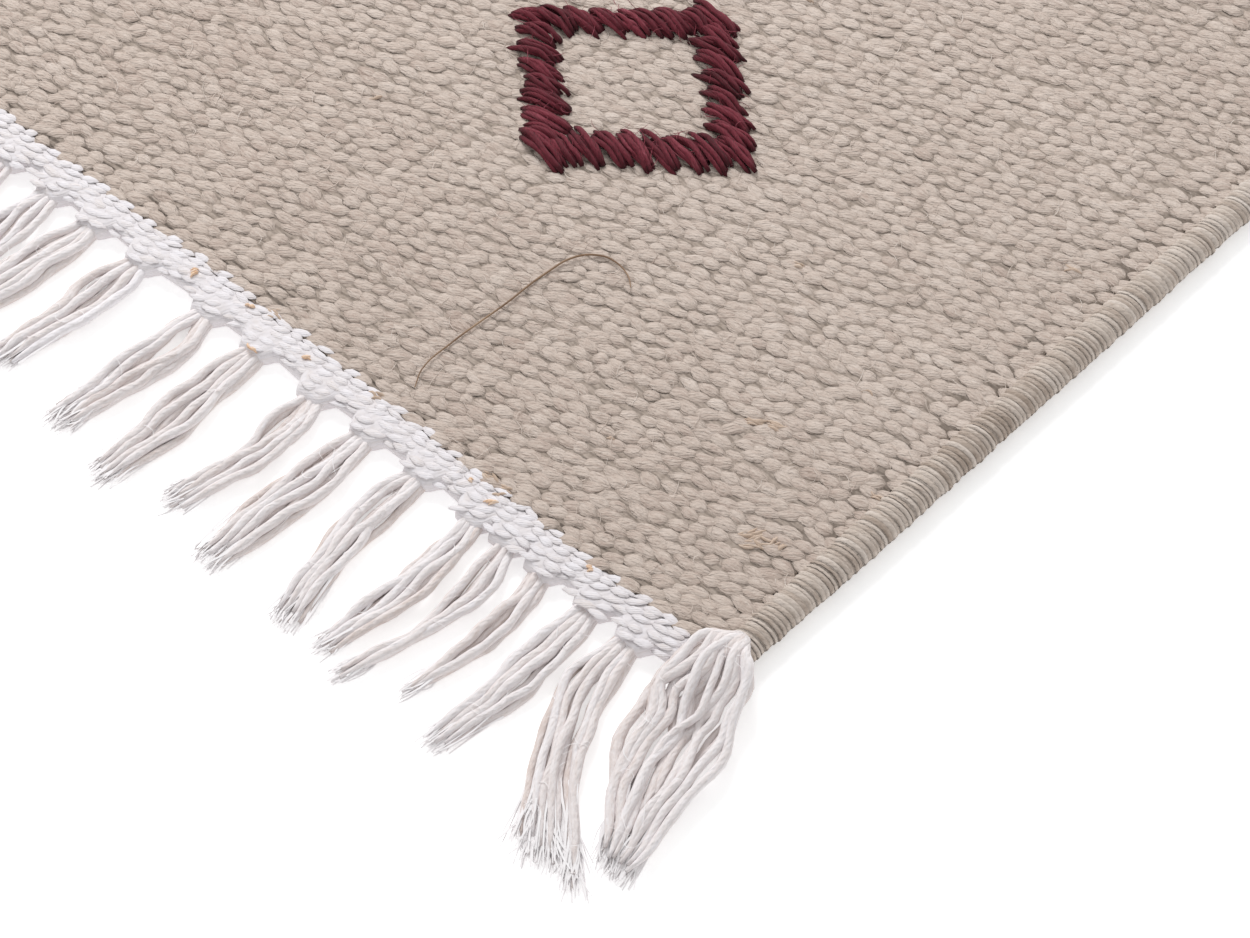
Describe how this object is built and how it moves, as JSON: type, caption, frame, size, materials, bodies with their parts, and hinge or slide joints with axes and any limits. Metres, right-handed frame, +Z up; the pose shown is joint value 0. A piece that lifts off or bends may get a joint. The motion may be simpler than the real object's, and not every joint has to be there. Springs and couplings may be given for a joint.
{
  "type": "dhurrie rug",
  "caption": "Flat-woven rectangular dhurrie rug with stitched diamond outlines, wrapped selvedges, white end headings and a tassel fringe at both ends.",
  "frame": {"origin": "centre of the rug's underside, on the surface it lies on", "axes": "+Z up through the cloth, +Y along the warp towards the back fringe, +X along the weft"},
  "size_m": [0.6416, 1.028, 0.0087],
  "materials": {
    "natural_wool": "undyed wool weft, dense plain weave, matt",
    "wrapped_wool": "undyed wool yarn wrapped round the side cord, matt",
    "white_cotton": "bleached cotton weft rows, matt",
    "cotton_cord": "soft spun cotton warp cord with frayed ends, matt",
    "burgundy_yarn": "thick dyed wool yarn, softly plied, slight sheen"
  },
  "bodies": {
    "root": {"field": "natural_wool", "selvedge_right": "wrapped_wool", "selvedge_left": "wrapped_wool", "heading_front": "white_cotton", "heading_back": "white_cotton", "fringe_front": "cotton_cord", "fringe_back": "cotton_cord", "diamond_1_left": "burgundy_yarn", "diamond_1_right": "burgundy_yarn", "diamond_2_left": "burgundy_yarn", "diamond_2_right": "burgundy_yarn", "diamond_3_left": "burgundy_yarn", "diamond_3_right": "burgundy_yarn"}
  },
  "joints": []
}
